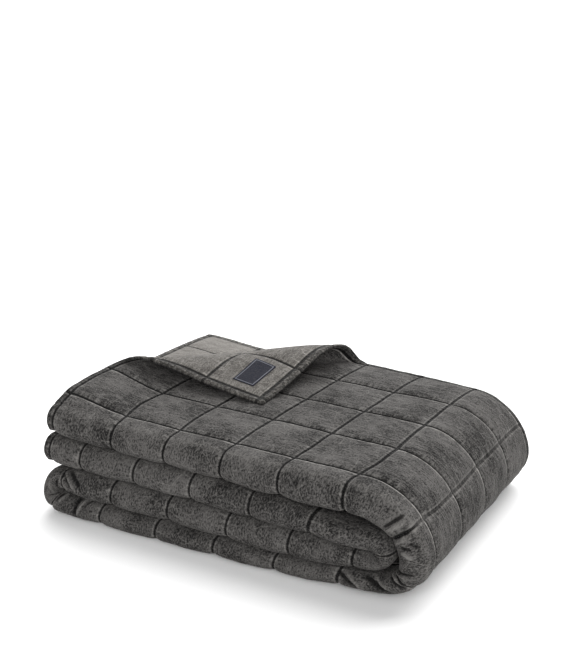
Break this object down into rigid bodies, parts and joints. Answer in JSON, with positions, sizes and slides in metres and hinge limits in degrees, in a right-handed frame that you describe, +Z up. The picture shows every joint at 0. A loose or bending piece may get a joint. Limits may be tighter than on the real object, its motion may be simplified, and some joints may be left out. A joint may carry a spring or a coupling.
{
  "type": "folded quilted bedspread",
  "caption": "Quilted bedspread folded in quarters both ways into a flat pile, its top back corner turned over to show the paler reverse and a woven label.",
  "frame": {"origin": "middle of the folded pile at the surface it lies on", "axes": "+Z up, +X along the longest side of the folded pile towards its big outer wrap, +Y towards its back, away from the folded front edges"},
  "size_m": [0.6364, 0.4862, 0.2036],
  "materials": {
    "quilt": "stone-washed cotton velvet, quilted in squares",
    "label": "plain woven label"
  },
  "bodies": {
    "root": {"bedspread": "quilt", "label": "label"}
  },
  "joints": []
}
